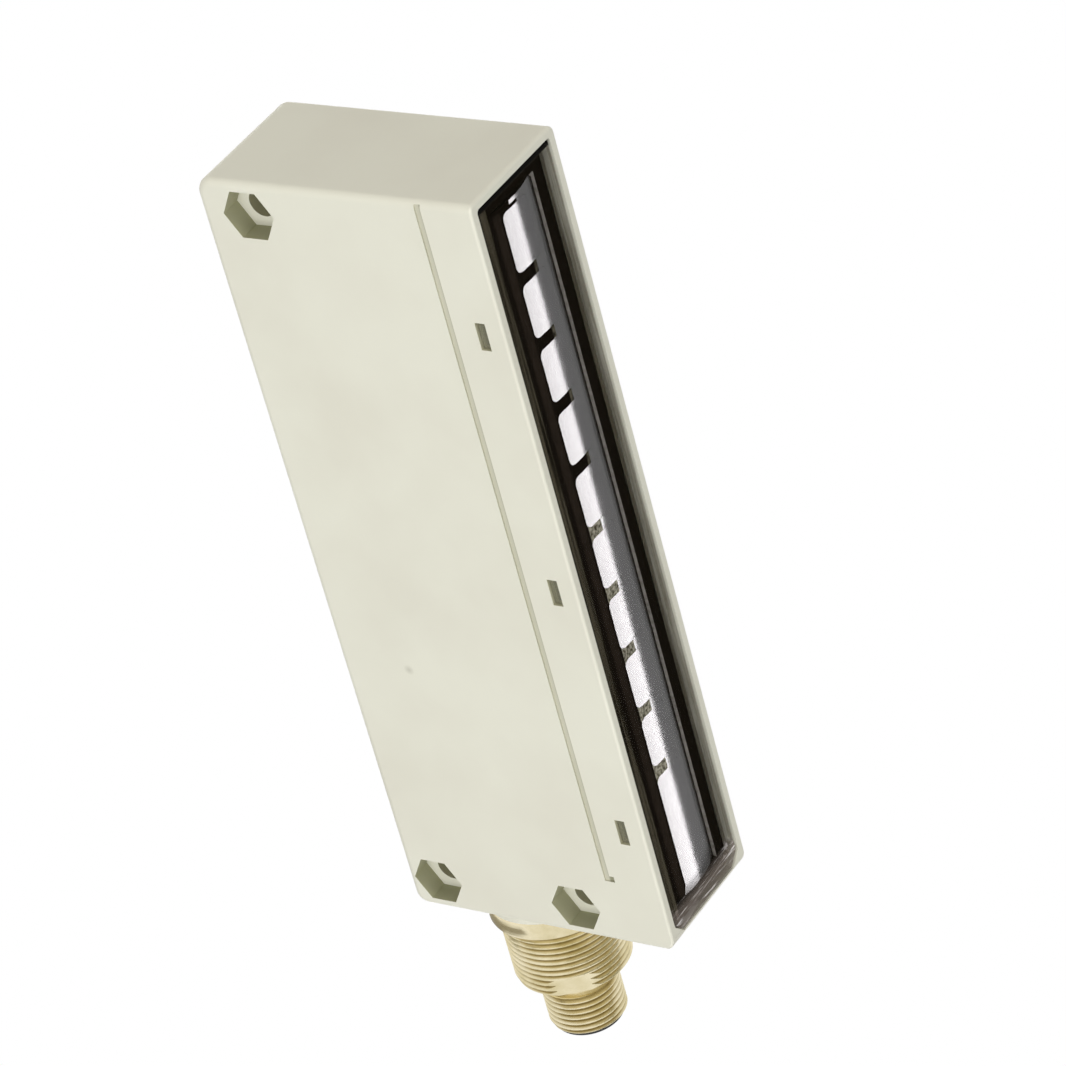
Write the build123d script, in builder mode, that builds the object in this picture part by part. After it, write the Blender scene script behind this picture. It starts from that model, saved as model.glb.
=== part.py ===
from build123d import *
from math import atan, degrees
import os

os.makedirs("parts", exist_ok=True)

# The origin is on the neck's axis, at the underside of its flange.
# The window faces -Y, the hex pockets face -X, and +Z is up.

# Housing, outside
housing_height = 124.5
housing_depth = 44.8
housing_width = 21.2
axis_to_rear = 17.0
side_edge_radius = 1.2
top_rear_radius = 2.5
bottom_rear_radius = 2.0
bottom_front_radius = 2.5
top_front_radius = 0.65
lip_edge_radius = 0.4

# Housing, inside
side_wall = 2.3
rear_wall = 2.0
floor_wall = 2.6
roof_wall = 2.2
cavity_corner_radius = 1.2

# Window opening in the narrow front
side_lip = 1.35
bottom_lip = 1.7
top_lip = 1.3
opening_depth = 8.0
opening_chamfer = 2.0
opening_radius = 0.6

# Cross holes with hex nut pockets, placed from the rear face and the ends
hole_radius = 2.1
nut_across_flats = 7.2
nut_pocket_depth = 3.3
column_radius = 4.8
column_skin = 0.4
lower_hole_rise = 5.2
upper_hole_drop = 5.05
rear_hole_inset = 5.3
front_hole_inset = 15.6
upper_hole_inset = 7.85

# Groove and latch slots on each side
groove_inset = 8.5
groove_width = 0.95
groove_depth = 0.25
groove_end_rise = 11.5
groove_hook_length = 1.2
groove_hook_height = 1.0
slot_inset = 3.55
slot_width = 1.6
slot_height = 4.3
slot_count = 3
slot_row_offset = 0.45

# Window cap, its gasket and its latch tabs
cap_clearance = 0.1
plate_recess = 0.15
plate_thickness = 0.7
plate_edge_chamfer = 0.3
rim_thickness = 1.0
gasket_thickness = 0.9
gasket_clearance = 0.05
tab_reach = 0.95
tab_clearance = 0.15
pad_radius = 0.6
pad_rise = 4.6

# Lens row, its mask and its holder
lens_count = 10
lens_row_top_inset = 6.0
lens_row_bottom_inset = 16.0
rib_width = 2.05
lens_half_width = 2.85
lens_corner_radius = 0.9
lens_bulge = 1.2
lens_head = 1.0
lens_tail = 11.1
lens_crest_gap = 0.2
lens_clearance = 0.1
strip_margin = 0.25
strip_thickness = 1.8
strip_end = 1.4
mask_gap = 0.65
mask_front = 0.75
mask_skirt = 0.8
mask_skirt_depth = 4.7
arch_half_width = 5.7
arch_rise = 1.0
arch_valley = 0.2
arch_end = 1.2
holder_length = 14.0
holder_clearance = 0.3
holder_foot_thickness = 3.6
holder_end = 3.4
tunnel_margin = 2.2
tunnel_web = 1.65
tunnel_throat_clearance = 0.5

# Boards and their parts
optics_board_thickness = 1.2
optics_board_inset = 0.6
emitter_side = 3.2
emitter_height = 1.4
emitter_cap_radius = 1.1
emitter_cap_height = 0.8
seat_thickness = 2.2
seat_overlap = 1.4
seat_reach = 3.0
lower_seat_rise = 9.0
main_board_thickness = 1.6
main_board_x = 1.4
main_board_gap = 1.25
main_board_rise = 14.0
main_board_top_inset = 12.5
guide_width = 1.0
guide_reach = 2.5
guide_clearance = 0.1

# Neck, turned from brass
flange_radius = 10.1
flange_thickness = 3.2
flange_chamfer = 0.25
boss_radius = 10.2
boss_height = 0.6
large_thread_radius = 8.97
large_thread_length = 11.8
large_thread_chamfer = 0.6
flat_across = 16.0
flat_height = 3.0
flat_angle = 32.7
small_thread_radius = 5.97
small_thread_end = 21.1
small_thread_chamfer = 0.4
spigot_radius = 5.0
spigot_rise = 3.4
tower_wall = 1.8
lead_bore_radius = 3.6
carrier_bore_radius = 4.85
carrier_top = 6.2
neck_seal_radius = 7.6
neck_seal_section = 1.2
neck_seal_clearance = 0.15

# Contact carrier in the neck
carrier_clearance = 0.1
carrier_recess_radius = 4.3
carrier_recess_depth = 8.5
collar_radius = 5.3
collar_height = 0.6
key_width = 1.2
key_reach = 0.7
carrier_seal_section = 1.0
carrier_seal_drop = 3.0
pin_count = 4
pin_radius = 0.5
pin_circle_radius = 2.5
pin_setback = 1.5
pin_top_rise = 3.2
wire_radius = 0.45
wire_pad_pitch = 3.4
wire_pad_rise = 20.2
wire_pad_inset = 8.0
wire_standoff = 4.6
wire_leave_rise = 7.7
wire_lower_bend = 2.0
wire_upper_bend = 1.6

# Places worked out from the driving dimensions
half_width = housing_width / 2
rear_y = axis_to_rear
front_y = rear_y - housing_depth
floor_z = flange_thickness + boss_height
roof_z = floor_z + housing_height
cavity_half_width = half_width - side_wall
cavity_floor_z = floor_z + floor_wall
cavity_roof_z = roof_z - roof_wall
cavity_rear_y = rear_y - rear_wall
opening_half_width = half_width - side_lip
opening_floor_z = floor_z + bottom_lip
opening_roof_z = roof_z - top_lip
rear_hole_y = rear_y - rear_hole_inset
middle_hole_y = front_y + front_hole_inset
lower_hole_z = floor_z + lower_hole_rise
upper_hole_y = rear_y - upper_hole_inset
upper_hole_z = roof_z - upper_hole_drop
hole_places = [(rear_hole_y, lower_hole_z), (middle_hole_y, lower_hole_z), (upper_hole_y, upper_hole_z)]
slot_y = front_y + slot_inset
slot_pitch = housing_height / slot_count
lowest_slot_z = floor_z + slot_pitch / 2 + slot_row_offset
slot_places = [(slot_y, lowest_slot_z + number * slot_pitch) for number in range(slot_count)]
gasket_front = opening_depth - gasket_thickness
plate_back = plate_recess + plate_thickness
lens_crest = plate_back + lens_crest_gap
strip_front = lens_crest + lens_bulge
strip_back = strip_front + strip_thickness
mask_face = plate_back + mask_gap
holder_back = strip_back + holder_length
optics_board_back = holder_back + optics_board_thickness
lens_row_top = roof_z - lens_row_top_inset
lens_row_bottom = floor_z + lens_row_bottom_inset
lens_pitch = (lens_row_top - lens_row_bottom) / lens_count
lens_height = lens_pitch - rib_width
lens_places = [lens_row_bottom + (number + 0.5) * lens_pitch for number in range(lens_count)]
strip_top = lens_row_top + strip_end
strip_bottom = lens_places[0] - lens_height / 2 - lens_tail - strip_end
holder_top = lens_row_top + holder_end
holder_bottom = lens_row_bottom - holder_end
main_board_front_y = front_y + optics_board_back + main_board_gap
main_board_middle_y = (main_board_front_y + cavity_rear_y) / 2
main_board_back_x = main_board_x + main_board_thickness
main_board_z = floor_z + main_board_rise
main_board_height = roof_z - main_board_top_inset - main_board_z
cap_half_width = opening_half_width - cap_clearance
mask_half_width = cap_half_width - rim_thickness - lens_clearance
foot_half_width = mask_half_width - mask_skirt - lens_clearance
strip_half_width = foot_half_width - strip_margin
holder_half_width = cavity_half_width - holder_clearance
spigot_top = cavity_floor_z + spigot_rise
neck_end_z = -small_thread_end - small_thread_chamfer


# Plane that lies a given depth behind the front face, with +X to the right and +Z up
def behind_front(depth):
    return Plane.XZ.offset(-(front_y + depth))


# Housing
front_spare = 6.0
with BuildPart() as housing:
    with BuildSketch(Plane.YZ):
        with Locations((rear_y - (housing_depth + front_spare) / 2, floor_z + housing_height / 2)):
            Rectangle(housing_depth + front_spare, housing_height)
        fillet(vertices().group_by(Axis.X)[-1].sort_by(Axis.Y)[-1], top_rear_radius)
        fillet(vertices().group_by(Axis.X)[-1].sort_by(Axis.Y)[0], bottom_rear_radius)
    extrude(amount=half_width, both=True)
    left_side = faces().sort_by(Axis.X)[0]
    right_side = faces().sort_by(Axis.X)[-1]
    fillet(left_side.edges().sort_by(Axis.Y)[1:] + right_side.edges().sort_by(Axis.Y)[1:], side_edge_radius)

    # The front keeps its own corners
    with BuildSketch(Plane.YZ):
        with Locations((front_y + (housing_depth + front_spare) / 2, floor_z + housing_height / 2)):
            Rectangle(housing_depth + front_spare, housing_height)
        fillet(vertices().group_by(Axis.X)[0].sort_by(Axis.Y)[-1], top_front_radius)
        fillet(vertices().group_by(Axis.X)[0].sort_by(Axis.Y)[0], bottom_front_radius)
    extrude(amount=half_width, both=True, mode=Mode.INTERSECT)
    fillet(edges().filter_by(Axis.Z).group_by(Axis.Y)[0], lip_edge_radius)

    # Window opening and the cavity behind its seat
    with BuildSketch(behind_front(0)):
        with Locations((0, (opening_floor_z + opening_roof_z) / 2)):
            Rectangle(2 * opening_half_width, opening_roof_z - opening_floor_z)
        chamfer(vertices().group_by(Axis.Y)[0], opening_chamfer)
        fillet(vertices().group_by(Axis.Y)[-1], opening_radius)
    extrude(amount=-opening_depth, mode=Mode.SUBTRACT)
    with BuildSketch(Plane.YZ):
        cavity_front_y = front_y + opening_depth
        with Locations(((cavity_front_y + cavity_rear_y) / 2, (cavity_floor_z + cavity_roof_z) / 2)):
            Rectangle(cavity_rear_y - cavity_front_y, cavity_roof_z - cavity_floor_z)
        fillet(vertices().group_by(Axis.X)[-1], cavity_corner_radius)
    extrude(amount=cavity_half_width, both=True, mode=Mode.SUBTRACT)

    # Columns round the cross holes
    with BuildSketch(Plane.YZ):
        with Locations(*hole_places):
            Circle(column_radius)
        with Locations((rear_y - housing_depth / 2, floor_z + housing_height / 2)):
            Rectangle(housing_depth - 2 * column_skin, housing_height - 2 * column_skin, mode=Mode.INTERSECT)
    extrude(amount=cavity_half_width, both=True)

    # Seats for the optics board's ends, on both side walls
    seat_front_y = front_y + optics_board_back
    lower_seat_z = floor_z + lower_seat_rise
    lower_seat_top = holder_bottom + optics_board_inset + seat_overlap
    upper_seat_z = holder_top - optics_board_inset - seat_overlap
    for side in (-1, 1):
        with BuildSketch(Plane.YZ.offset(side * cavity_half_width)):
            with Locations((seat_front_y, lower_seat_z)):
                Rectangle(seat_thickness, lower_seat_top - lower_seat_z, align=Align.MIN)
            with Locations((seat_front_y, upper_seat_z)):
                Rectangle(seat_thickness, cavity_roof_z - upper_seat_z, align=Align.MIN)
        extrude(amount=-side * seat_reach)

    # Guides on the rear wall for the main board's edge
    with BuildSketch(Plane.XY.offset(main_board_z)):
        for guide_x in (main_board_x - guide_clearance - guide_width, main_board_back_x + guide_clearance):
            with Locations((guide_x, cavity_rear_y - guide_reach)):
                Rectangle(guide_width, guide_reach, align=Align.MIN)
    extrude(amount=main_board_height)

    # Boss and inner tower round the neck's spigot, which is moulded in
    with BuildSketch(Plane.XY.offset(flange_thickness)):
        Circle(boss_radius)
    extrude(amount=boss_height + floor_wall)
    with BuildSketch(Plane.XY.offset(cavity_floor_z)):
        Circle(spigot_radius + tower_wall)
    extrude(amount=spigot_rise)
    with BuildSketch(Plane.XY.offset(flange_thickness)):
        Circle(spigot_radius)
    extrude(amount=spigot_top - flange_thickness, mode=Mode.SUBTRACT)

    # Cross holes and nut pockets
    with BuildSketch(Plane.YZ):
        with Locations(*hole_places):
            Circle(hole_radius)
    extrude(amount=half_width, both=True, mode=Mode.SUBTRACT)
    with BuildSketch(Plane.YZ.offset(-half_width)):
        with Locations(*hole_places):
            RegularPolygon(nut_across_flats / 2, 6, major_radius=False)
    extrude(amount=nut_pocket_depth, mode=Mode.SUBTRACT)

    # Grooves and latch slots
    groove_y = front_y + groove_inset
    groove_end_z = floor_z + groove_end_rise
    for side in (-1, 1):
        with BuildSketch(Plane.YZ.offset(side * half_width)):
            with Locations((groove_y, groove_end_z)):
                Rectangle(groove_width, roof_z - groove_end_z, align=(Align.CENTER, Align.MIN))
            with Locations((groove_y + groove_width / 2, groove_end_z)):
                Rectangle(groove_hook_length + groove_width / 2, groove_hook_height, align=(Align.MAX, Align.MIN))
        extrude(amount=-side * groove_depth, mode=Mode.SUBTRACT)
    with BuildSketch(Plane.YZ):
        with Locations(*slot_places):
            Rectangle(slot_width, slot_height)
    extrude(amount=half_width, both=True, mode=Mode.SUBTRACT)
housing.part.label = "housing"
export_step(housing.part, "parts/housing.step")

# Window cap: plate, rim, latch tabs and the pads that press on the mask
cap_floor_z = opening_floor_z + cap_clearance
cap_roof_z = opening_roof_z - cap_clearance
cap_middle_z = (cap_floor_z + cap_roof_z) / 2
cap_height = cap_roof_z - cap_floor_z
pad_x = cap_half_width - rim_thickness - lens_clearance - mask_skirt - pad_radius
with BuildPart() as front_window:
    with BuildSketch(behind_front(plate_recess)):
        with Locations((0, cap_middle_z)):
            Rectangle(2 * cap_half_width, cap_height)
        chamfer(vertices().group_by(Axis.Y)[0], opening_chamfer)
        fillet(vertices().group_by(Axis.Y)[-1], opening_radius)
    extrude(amount=-(gasket_front - plate_recess))
    chamfer(faces().sort_by(Axis.Y)[0].edges(), plate_edge_chamfer)
    with BuildSketch(behind_front(plate_back)):
        with Locations((0, cap_middle_z)):
            Rectangle(2 * (cap_half_width - rim_thickness), cap_height - 2 * rim_thickness)
        chamfer(vertices().group_by(Axis.Y)[0], opening_chamfer - rim_thickness / 2)
    extrude(amount=-(gasket_front - plate_back), mode=Mode.SUBTRACT)
    with BuildSketch(Plane.YZ):
        with Locations(*slot_places):
            Rectangle(slot_width - 2 * tab_clearance, slot_height - 2 * tab_clearance)
    extrude(amount=cap_half_width + tab_reach, both=True)
    with BuildSketch(behind_front(plate_back)):
        with Locations((0, cap_middle_z)):
            Rectangle(2 * (cap_half_width - rim_thickness), cap_height - 2 * rim_thickness)
        chamfer(vertices().group_by(Axis.Y)[0], opening_chamfer - rim_thickness / 2)
    extrude(amount=-(gasket_front - plate_back), mode=Mode.SUBTRACT)
    with BuildSketch(behind_front(plate_back)):
        pad_low = cap_floor_z + pad_rise
        pad_high = cap_roof_z - pad_rise / 2
        with Locations((-pad_x, pad_low), (pad_x, pad_low), (-pad_x, pad_high), (pad_x, pad_high)):
            Circle(pad_radius)
    extrude(amount=-mask_gap)
front_window.part.label = "front_window"
export_step(front_window.part, "parts/front_window.step")

# Gasket under the cap's rim
with BuildPart() as window_gasket:
    with BuildSketch(behind_front(gasket_front)):
        with Locations((0, cap_middle_z)):
            Rectangle(2 * cap_half_width, cap_height)
        chamfer(vertices().group_by(Axis.Y)[0], opening_chamfer)
        fillet(vertices().group_by(Axis.Y)[-1], opening_radius)
    extrude(amount=-gasket_thickness)
    with BuildSketch(behind_front(gasket_front)):
        with Locations((0, (cavity_floor_z + cavity_roof_z) / 2)):
            hole_height = cavity_roof_z - cavity_floor_z + 2 * gasket_clearance
            Rectangle(2 * (cavity_half_width + gasket_clearance), hole_height)
        chamfer(vertices().group_by(Axis.Y)[0], opening_chamfer - rim_thickness / 2)
    extrude(amount=-gasket_thickness, mode=Mode.SUBTRACT)
window_gasket.part.label = "window_gasket"
export_step(window_gasket.part, "parts/window_gasket.step")

# Arch that the mask's middle and the lens faces share, up to a given depth behind the front
lens_bottoms = [lens_z - lens_height / 2 for lens_z in lens_places]
lens_bottoms[0] -= lens_tail
lens_tops = [lens_z + lens_height / 2 for lens_z in lens_places]
lens_tops[-1] += lens_head
arch_bottom = lens_bottoms[0] - arch_end
arch_top = lens_tops[-1] + arch_end


def arch_over(depth):
    with BuildPart() as arch:
        with BuildSketch(Plane.XY.offset(arch_bottom)):
            with BuildLine():
                left_foot = (-arch_half_width, front_y + lens_crest + arch_rise)
                right_foot = (arch_half_width, front_y + lens_crest + arch_rise)
                ThreePointArc(left_foot, (0, front_y + lens_crest), right_foot)
                Polyline(
                    right_foot,
                    (arch_half_width, front_y + depth),
                    (-arch_half_width, front_y + depth),
                    left_foot,
                )
            make_face()
        extrude(amount=arch_top - arch_bottom)
    return arch.part


# Lens bar: the strip and its ten lenses, arched across, the lowest one drawn out into a plain tail
with BuildPart() as lenses:
    with BuildSketch(behind_front(lens_crest)):
        for low, high in zip(lens_bottoms, lens_tops):
            with Locations((0, (low + high) / 2)):
                RectangleRounded(2 * lens_half_width, high - low, lens_corner_radius)
    extrude(amount=-lens_bulge)
    add(arch_over(strip_front), mode=Mode.INTERSECT)
with BuildPart() as lens_bar:
    with BuildSketch(behind_front(strip_front)):
        with Locations((0, strip_bottom)):
            Rectangle(2 * strip_half_width, strip_top - strip_bottom, align=(Align.CENTER, Align.MIN))
    extrude(amount=-strip_thickness)
    add(lenses.part)
lens_bar.part.label = "lens_bar"
export_step(lens_bar.part, "parts/lens_bar.step")

# Aperture mask: black front with an arched middle, an opening for each lens, and a skirt round the strip
mask_floor_z = cap_floor_z + rim_thickness + lens_clearance
mask_roof_z = cap_roof_z - rim_thickness - lens_clearance
mask_middle_z = (mask_floor_z + mask_roof_z) / 2
mask_height = mask_roof_z - mask_floor_z
mask_back = mask_face + mask_front
arch_middle_z = (arch_bottom + arch_top) / 2
with BuildPart() as aperture_mask:
    with BuildSketch(behind_front(mask_face)):
        with Locations((0, mask_middle_z)):
            Rectangle(2 * mask_half_width, mask_height)
        chamfer(vertices().group_by(Axis.Y)[0], opening_chamfer - rim_thickness / 2)
    extrude(amount=-(mask_front + mask_skirt_depth))
    with BuildSketch(behind_front(mask_back)):
        with Locations((0, mask_middle_z)):
            Rectangle(2 * (mask_half_width - mask_skirt), mask_height - 2 * mask_skirt)
    extrude(amount=-mask_skirt_depth, mode=Mode.SUBTRACT)
    with BuildSketch(behind_front(mask_face)):
        with Locations((0, arch_middle_z)):
            Rectangle(2 * (arch_half_width + arch_valley), arch_top - arch_bottom + 2 * arch_valley)
    extrude(amount=-(lens_crest + arch_rise - mask_face), mode=Mode.SUBTRACT)
    add(arch_over(mask_back))
    with BuildSketch(behind_front(lens_crest)):
        for low, high in zip(lens_bottoms, lens_tops):
            with Locations((0, (low + high) / 2)):
                opening_width = 2 * (lens_half_width + lens_clearance)
                opening_height = high - low + 2 * lens_clearance
                RectangleRounded(opening_width, opening_height, lens_corner_radius + lens_clearance)
    extrude(amount=-(mask_back - lens_crest), mode=Mode.SUBTRACT)
aperture_mask.part.label = "aperture_mask"
export_step(aperture_mask.part, "parts/aperture_mask.step")

# Optics holder: black block with a tapered tunnel behind each lens
tunnel_mouth_width = 2 * (strip_half_width - tunnel_margin)
tunnel_mouth_height = lens_pitch - tunnel_web
tunnel_throat = emitter_side + 2 * tunnel_throat_clearance
tunnel_narrowing = (min(tunnel_mouth_width, tunnel_mouth_height) - tunnel_throat) / 2
tunnel_taper = degrees(atan(tunnel_narrowing / holder_length))
with BuildPart() as optics_holder:
    with BuildSketch(behind_front(strip_back)):
        with Locations((0, strip_bottom)):
            Rectangle(2 * foot_half_width, strip_top - strip_bottom, align=(Align.CENTER, Align.MIN))
    extrude(amount=-holder_foot_thickness)
    with BuildSketch(behind_front(strip_back + holder_foot_thickness)):
        with Locations((0, holder_bottom)):
            Rectangle(2 * holder_half_width, holder_top - holder_bottom, align=(Align.CENTER, Align.MIN))
    extrude(amount=-(holder_length - holder_foot_thickness))
    for lens_z in lens_places:
        with BuildSketch(behind_front(strip_back)):
            with Locations((0, lens_z)):
                Rectangle(tunnel_mouth_width, tunnel_mouth_height)
        extrude(amount=-holder_length, taper=tunnel_taper, mode=Mode.SUBTRACT)
optics_holder.part.label = "optics_holder"
export_step(optics_holder.part, "parts/optics_holder.step")

# Optics board and its ten light elements
board_bottom = holder_bottom + optics_board_inset
board_top = holder_top - optics_board_inset
with BuildPart() as optics_board:
    with BuildSketch(behind_front(holder_back)):
        with Locations((0, board_bottom)):
            board_width = 2 * (holder_half_width - optics_board_inset)
            Rectangle(board_width, board_top - board_bottom, align=(Align.CENTER, Align.MIN))
    extrude(amount=-optics_board_thickness)
optics_board.part.label = "optics_board"
export_step(optics_board.part, "parts/optics_board.step")

for number, lens_z in enumerate(lens_places, start=1):
    with BuildPart() as emitter:
        with BuildSketch(behind_front(holder_back)):
            with Locations((0, lens_z)):
                Rectangle(emitter_side, emitter_side)
        extrude(amount=emitter_height)
        with BuildSketch(behind_front(holder_back - emitter_height)):
            with Locations((0, lens_z)):
                Circle(emitter_cap_radius)
        extrude(amount=emitter_cap_height)
        chamfer(faces().sort_by(Axis.Y)[0].edges(), emitter_cap_height / 2)
    emitter.part.label = f"emitter_{number}"
    export_step(emitter.part, f"parts/emitter_{number}.step")

# Main board, its edge in the guides
with BuildPart() as main_board:
    with BuildSketch(Plane.YZ.offset(main_board_x)):
        with Locations((main_board_front_y, main_board_z)):
            Rectangle(cavity_rear_y - main_board_front_y, main_board_height, align=Align.MIN)
    extrude(amount=main_board_thickness)
main_board.part.label = "main_board"
export_step(main_board.part, "parts/main_board.step")

# Flat chips down the middle of the main board: name, width, height, thickness, share of the board's height
chips = [
    ("regulator", 6.5, 6.0, 2.3, 0.17),
    ("driver_chip_1", 6.0, 8.0, 1.6, 0.31),
    ("processor", 10.0, 10.0, 1.4, 0.49),
    ("driver_chip_2", 6.0, 8.0, 1.6, 0.73),
]
for chip_name, chip_width, chip_height, chip_thickness, chip_share in chips:
    with BuildPart() as chip:
        with BuildSketch(Plane.YZ.offset(main_board_x)):
            with Locations((main_board_middle_y, main_board_z + chip_share * main_board_height)):
                Rectangle(chip_width, chip_height)
        extrude(amount=-chip_thickness)
    chip.part.label = chip_name
    export_step(chip.part, f"parts/{chip_name}.step")

# Capacitors, standing on the main board
capacitor_radius = 3.0
capacitor_height = 5.6
capacitor_shares = [0.86, 0.95]
for number, capacitor_share in enumerate(capacitor_shares, start=1):
    with BuildPart() as capacitor:
        with BuildSketch(Plane.YZ.offset(main_board_x)):
            with Locations((main_board_middle_y, main_board_z + capacitor_share * main_board_height)):
                Circle(capacitor_radius)
        extrude(amount=-capacitor_height)
        chamfer(faces().sort_by(Axis.X)[0].edges(), capacitor_radius / 8)
    capacitor.part.label = f"capacitor_{number}"
    export_step(capacitor.part, f"parts/capacitor_{number}.step")

# Pin header that joins the two boards
link_width = 2.5
link_length = 20.0
link_pin = 0.6
link_pin_count = 8
link_pin_pitch = 2.5
link_z = floor_z + main_board_rise + main_board_height / 2
with BuildPart() as board_link:
    with BuildSketch(Plane.YZ.offset(main_board_x)):
        with Locations((main_board_front_y, link_z)):
            Rectangle(link_width, link_length, align=(Align.MIN, Align.CENTER))
    extrude(amount=-link_width)
    with BuildSketch(behind_front(optics_board_back)):
        with Locations((main_board_x - link_width / 2, link_z)):
            with GridLocations(link_pin_pitch, link_pin_pitch, 1, link_pin_count):
                Rectangle(link_pin, link_pin)
    extrude(amount=-main_board_gap)
board_link.part.label = "board_link"
export_step(board_link.part, "parts/board_link.step")

# Neck: flange, both threads, flats, spigot and bores, with the threads at their crest diameter
with BuildPart() as connector_body:
    with BuildSketch(Plane.XZ):
        with BuildLine():
            Polyline(
                (lead_bore_radius, spigot_top),
                (spigot_radius, spigot_top),
                (spigot_radius, flange_thickness),
                (flange_radius - flange_chamfer, flange_thickness),
                (flange_radius, flange_thickness - flange_chamfer),
                (flange_radius, flange_chamfer),
                (flange_radius - flange_chamfer, 0),
                (large_thread_radius, 0),
                (large_thread_radius, large_thread_chamfer - large_thread_length),
                (large_thread_radius - large_thread_chamfer, -large_thread_length),
                (small_thread_radius, -large_thread_length),
                (small_thread_radius, -small_thread_end),
                (small_thread_radius - small_thread_chamfer, neck_end_z),
                (carrier_bore_radius, neck_end_z),
                (carrier_bore_radius, -carrier_top),
                (lead_bore_radius, -carrier_top),
                close=True,
            )
        make_face()
    revolve(axis=Axis.Z)

    # Groove for the seal in the flange's top
    with BuildSketch(Plane.XY.offset(flange_thickness)):
        Circle(neck_seal_radius + neck_seal_section / 2 + neck_seal_clearance)
        Circle(neck_seal_radius - neck_seal_section / 2, mode=Mode.SUBTRACT)
    extrude(amount=-neck_seal_section, mode=Mode.SUBTRACT)

    # Wrench flats at the end of the large thread
    flats_plane = Plane(
        origin=(0, 0, -large_thread_length),
        x_dir=Vector(1, 0, 0).rotate(Axis.Z, flat_angle),
        z_dir=(0, 0, 1),
    )
    flat_cut = large_thread_radius - flat_across / 2
    with BuildSketch(flats_plane):
        with Locations((-flat_across / 2 - flat_cut, 0), (flat_across / 2 + flat_cut, 0)):
            Rectangle(2 * flat_cut, 2 * large_thread_radius)
    extrude(amount=flat_height, mode=Mode.SUBTRACT)
connector_body.part.label = "connector_body"
export_step(connector_body.part, "parts/connector_body.step")

# Square-cut seal between flange and boss
with BuildPart() as neck_seal:
    with BuildSketch(Plane.XY.offset(flange_thickness)):
        Circle(neck_seal_radius + neck_seal_section / 2)
        Circle(neck_seal_radius - neck_seal_section / 2, mode=Mode.SUBTRACT)
    extrude(amount=-neck_seal_section)
neck_seal.part.label = "neck_seal"
export_step(neck_seal.part, "parts/neck_seal.step")

# Contact carrier: a cup with a keyed recess, and a collar that covers the neck's end
carrier_radius = carrier_bore_radius - carrier_clearance
collar_z = neck_end_z - collar_height
carrier_seal_z = -carrier_top - carrier_seal_drop
carrier_seal_inner = carrier_bore_radius - carrier_seal_section
pin_angles = [45 + turn * 360 / pin_count for turn in range(pin_count)]
with BuildPart() as contact_carrier:
    with BuildSketch(Plane.XY.offset(collar_z)):
        Circle(collar_radius)
    extrude(amount=collar_height)
    with BuildSketch(Plane.XY.offset(neck_end_z)):
        Circle(carrier_radius)
    extrude(amount=-carrier_top - neck_end_z)
    with BuildSketch(Plane.XY.offset(collar_z)):
        Circle(carrier_recess_radius)
        with Locations((0, -carrier_recess_radius)):
            Rectangle(key_width, 2 * key_reach, mode=Mode.SUBTRACT)
    extrude(amount=carrier_recess_depth, mode=Mode.SUBTRACT)
    with BuildSketch(Plane.XY.offset(carrier_seal_z)):
        Circle(carrier_radius)
        Circle(carrier_seal_inner, mode=Mode.SUBTRACT)
    extrude(amount=carrier_seal_section, mode=Mode.SUBTRACT)
    with BuildSketch(Plane.XY.offset(collar_z)):
        with PolarLocations(pin_circle_radius, pin_count, start_angle=45):
            Circle(pin_radius)
    extrude(amount=-carrier_top - collar_z, mode=Mode.SUBTRACT)
contact_carrier.part.label = "contact_carrier"
export_step(contact_carrier.part, "parts/contact_carrier.step")

# Square-cut seal round the carrier
with BuildPart() as carrier_seal:
    with BuildSketch(Plane.XY.offset(carrier_seal_z)):
        Circle(carrier_bore_radius)
        Circle(carrier_seal_inner, mode=Mode.SUBTRACT)
    extrude(amount=carrier_seal_section)
carrier_seal.part.label = "carrier_seal"
export_step(carrier_seal.part, "parts/carrier_seal.step")

# Contact pins, round at their tips
pin_tip_z = collar_z + pin_setback
pin_top_z = -carrier_top + pin_top_rise
pin_places = []
for number, angle in enumerate(pin_angles, start=1):
    pin_place = Vector(pin_circle_radius, 0, 0).rotate(Axis.Z, angle)
    pin_places.append(pin_place)
    with BuildPart() as contact_pin:
        with BuildSketch(Plane.XY.offset(pin_tip_z)):
            with Locations((pin_place.X, pin_place.Y)):
                Circle(pin_radius)
        extrude(amount=pin_top_z - pin_tip_z)
        chamfer(faces().sort_by(Axis.Z)[0].edges(), pin_radius / 2)
    contact_pin.part.label = f"contact_pin_{number}"
    export_step(contact_pin.part, f"parts/contact_pin_{number}.step")

# Leads from the contacts to the main board: up the bore, over, then square onto the board
wire_leave_z = floor_z + wire_leave_rise
wire_pad_z = floor_z + wire_pad_rise
pad_orders = {1: 1.5, 2: 0.5, 3: -0.5, 4: -1.5}
for number, pin_place in enumerate(pin_places, start=1):
    pad_y = main_board_front_y + wire_pad_inset + pad_orders[number] * wire_pad_pitch
    with BuildPart() as wire:
        with BuildLine():
            route = FilletPolyline(
                (pin_place.X, pin_place.Y, pin_top_z),
                (pin_place.X, pin_place.Y, wire_leave_z),
                (main_board_x - wire_standoff, pad_y, wire_pad_z),
                (main_board_x, pad_y, wire_pad_z),
                radius=[wire_lower_bend, wire_upper_bend],
            )
        with BuildSketch(Plane(origin=route @ 0, z_dir=route % 0)):
            Circle(wire_radius)
        sweep()
    wire.part.label = f"wire_{number}"
    export_step(wire.part, f"parts/wire_{number}.step")
    print(wire.part.label, "bend radii", wire_lower_bend, wire_upper_bend)
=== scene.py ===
from math import cos, pi, radians, sin

import bmesh
import bpy
from mathutils import Matrix, Vector


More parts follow.
